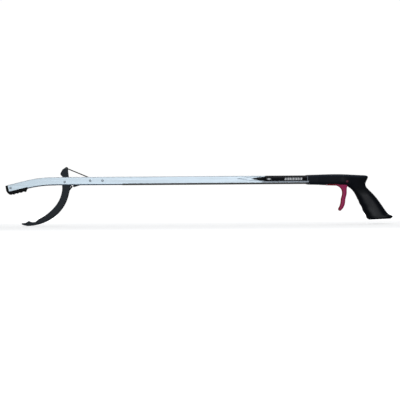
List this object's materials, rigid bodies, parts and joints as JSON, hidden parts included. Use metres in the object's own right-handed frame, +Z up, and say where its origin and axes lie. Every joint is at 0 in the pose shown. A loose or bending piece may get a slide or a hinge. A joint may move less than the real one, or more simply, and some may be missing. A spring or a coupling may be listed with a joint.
{
  "type": "reacher grabber",
  "caption": "Hand-held reacher with a bent channel shaft, a fixed rubber jaw, a hinged claw worked by a cord, and a pistol handle with a trigger.",
  "frame": {"origin": "middle of the hand grip", "axes": "+X from the jaws to the handle, along the shaft; +Y across, away from the viewer; +Z up, the claw hangs down"},
  "size_m": [0.8397, 0.0336, 0.1275],
  "materials": {
    "aluminium": "satin anodised roll-formed channel, smooth, cool grey-blue",
    "cover_plastic": "extruded dark grey strip, slightly satin",
    "jaw_rubber": "moulded black rubber, matt, with teeth",
    "pin_steel": "zinc-plated steel pin, slightly dull",
    "screw_steel": "dark zinc self-tapping screw",
    "label_film": "printed vinyl film, satin black with silver lines",
    "handle_plastic": "moulded blue-black plastic, satin with a very fine grain",
    "cord_steel": "stranded steel wire cord, grey, lightly oiled",
    "trigger_plastic": "moulded crimson plastic, semi-gloss",
    "claw_plastic": "moulded glass-filled nylon, dark grey, fine grain",
    "roller_plastic": "natural acetal roller, smooth",
    "spring_steel": "dark oiled spring wire"
  },
  "bodies": {
    "root": {"shaft": "aluminium", "channel_cover": "cover_plastic", "jaw_pad": "jaw_rubber", "jaw_pad_rivet": "pin_steel", "claw_pivot_pin": "pin_steel", "spring_anchor_pin": "pin_steel", "front_roller_pin": "pin_steel", "guide_roller_pin": "pin_steel", "shaft_lock_pin": "pin_steel", "shaft_label": "label_film", "handle_shell_left": "handle_plastic", "handle_shell_right": "handle_plastic", "handle_screws": "screw_steel", "pull_cord_bend": "cord_steel"},
    "trigger": {"trigger": "trigger_plastic", "cord_terminal": "pin_steel", "pull_cord_tail": "cord_steel"},
    "claw": {"claw": "claw_plastic"},
    "cord_front": {"cord_nipple": "pin_steel", "pull_cord_front": "cord_steel"},
    "pull_cord": {"pull_cord_run": "cord_steel"},
    "front_roller": {"front_roller": "roller_plastic"},
    "guide_roller": {"guide_roller": "roller_plastic"},
    "spring_rear": {"return_spring_leg": "spring_steel", "return_spring_coil": "spring_steel"},
    "spring_front": {"return_spring_hook": "spring_steel"}
  },
  "joints": [
    {"name": "trigger_pivot", "type": "hinge", "parent": "root", "child": "trigger", "pos_m": [-0.0457, 0, 0.0407], "axis": [0, -1, 0], "range_deg": [0, 22.4], "stiffness_Nm_per_rad": 3, "springref_deg": -8.59},
    {"name": "claw_pivot", "type": "hinge", "parent": "root", "child": "claw", "pos_m": [-0.6576, 0, 0.0438], "axis": [0, 1, 0], "range_deg": [0, 32.6]},
    {"name": "cord_eye", "type": "hinge", "parent": "claw", "child": "cord_front", "pos_m": [-0.6536, 0, 0.0733], "axis": [0, 1, 0], "range_deg": [-33, 0]},
    {"name": "pull_cord_slide", "type": "slide", "parent": "root", "child": "pull_cord", "axis": [1, 0, 0.0031], "range_m": [0, 0.0167], "deforming": ["pull_cord_bend", "pull_cord_tail"]},
    {"name": "front_roller_spin", "type": "hinge", "parent": "root", "child": "front_roller", "pos_m": [-0.5758, 0, 0.0459], "axis": [0, -1, 0], "range_deg": [0, 246]},
    {"name": "guide_roller_spin", "type": "hinge", "parent": "root", "child": "guide_roller", "pos_m": [-0.097, 0, 0.0384], "axis": [0, 1, 0], "range_deg": [0, 330]},
    {"name": "spring_swing", "type": "hinge", "parent": "root", "child": "spring_rear", "pos_m": [-0.6022, 0, 0.0461], "axis": [0, 1, 0], "range_deg": [-3, 0]},
    {"name": "spring_stretch", "type": "slide", "parent": "spring_rear", "child": "spring_front", "axis": [-0.9556, 0, -0.2945], "range_m": [0, 0.0092], "deforming": ["return_spring_coil"]}
  ],
  "couplings": [
    {"joint": "claw_pivot", "follows": "trigger_pivot", "ratio": 1.45},
    {"joint": "cord_eye", "follows": "trigger_pivot", "ratio": -1.4624},
    {"joint": "pull_cord_slide", "follows": "trigger_pivot", "m_per_rad": 0.04248},
    {"joint": "front_roller_spin", "follows": "trigger_pivot", "ratio": 10.89},
    {"joint": "guide_roller_spin", "follows": "trigger_pivot", "ratio": 14.64},
    {"joint": "spring_swing", "follows": "trigger_pivot", "ratio": -0.1291},
    {"joint": "spring_stretch", "follows": "trigger_pivot", "m_per_rad": 0.02325}
  ]
}
